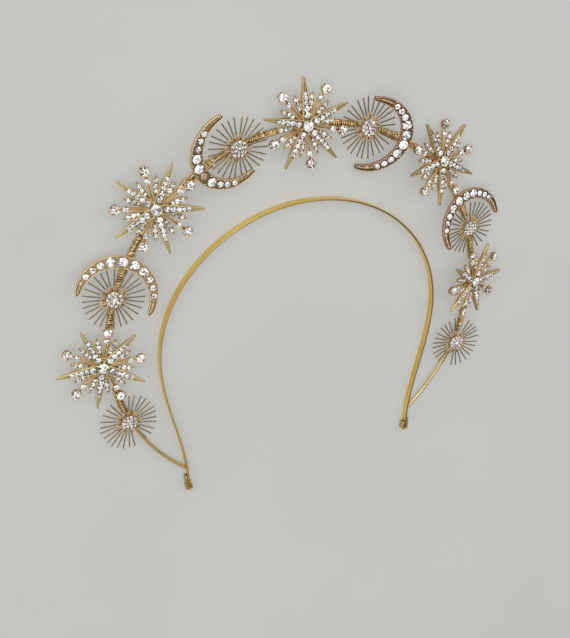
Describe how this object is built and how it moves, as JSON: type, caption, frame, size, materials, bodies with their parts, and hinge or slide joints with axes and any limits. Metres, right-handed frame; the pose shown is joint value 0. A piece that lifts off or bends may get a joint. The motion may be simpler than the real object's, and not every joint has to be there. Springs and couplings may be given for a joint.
{
  "type": "halo headpiece",
  "caption": "Rigid gold halo crown: a flat arched headband joined at its feet to a round wire halo that carries rhinestone stars, pin suns and crescent moons.",
  "frame": {"origin": "centre of the bounding box on the plane that the piece lies on, flat on its back", "axes": "+X towards the wearer's left, +Y from the band's feet up to the top of the halo, +Z forward, out of the front of the ornaments"},
  "size_m": [0.2584, 0.2218, 0.0146],
  "materials": {
    "band_gold": "bright yellow gold plate, polished strip",
    "tip_gold": "gold plate, slightly darker, folded and pressed",
    "wire_gold": "gold plated round wire",
    "rose_gold": "warm rose to copper gold plate on fine castings",
    "old_gold": "antique olive gold plate on fine castings",
    "craft_wire": "fine bright gold craft wire, wound",
    "rhinestone": "clear faceted glass stones with a silver backing"
  },
  "bodies": {
    "root": {"headband": "band_gold", "band_tip_left": "tip_gold", "band_tip_right": "tip_gold", "halo_wire": "wire_gold", "star_1_flower": "rose_gold", "star_2_flower": "rose_gold", "star_3_flower": "rose_gold", "star_4_flower": "rose_gold", "star_5_flower": "rose_gold", "star_1_spikes": "old_gold", "star_2_spikes": "old_gold", "star_3_spikes": "old_gold", "star_4_spikes": "old_gold", "star_5_spikes": "old_gold", "crescent_1": "rose_gold", "crescent_2": "rose_gold", "crescent_3": "rose_gold", "crescent_4": "rose_gold", "sun_1_pins": "old_gold", "sun_2_pins": "old_gold", "sun_3_pins": "old_gold", "sun_4_pins": "old_gold", "sun_5_pins": "old_gold", "sun_6_pins": "old_gold", "sun_1_cluster": "rose_gold", "sun_2_cluster": "rose_gold", "sun_3_cluster": "rose_gold", "sun_4_cluster": "rose_gold", "sun_5_cluster": "rose_gold", "sun_6_cluster": "rose_gold", "wire_wrap_1": "craft_wire", "wire_wrap_2": "craft_wire", "wire_wrap_3": "craft_wire", "wire_wrap_4": "craft_wire", "wire_wrap_5": "craft_wire", "wire_wrap_6": "craft_wire", "wire_wrap_7": "craft_wire", "wire_wrap_8": "craft_wire", "wire_wrap_9": "craft_wire", "wire_wrap_10": "craft_wire", "wire_wrap_11": "craft_wire", "wire_wrap_12": "craft_wire", "wire_wrap_13": "craft_wire", "wire_wrap_14": "craft_wire"}
  },
  "joints": []
}
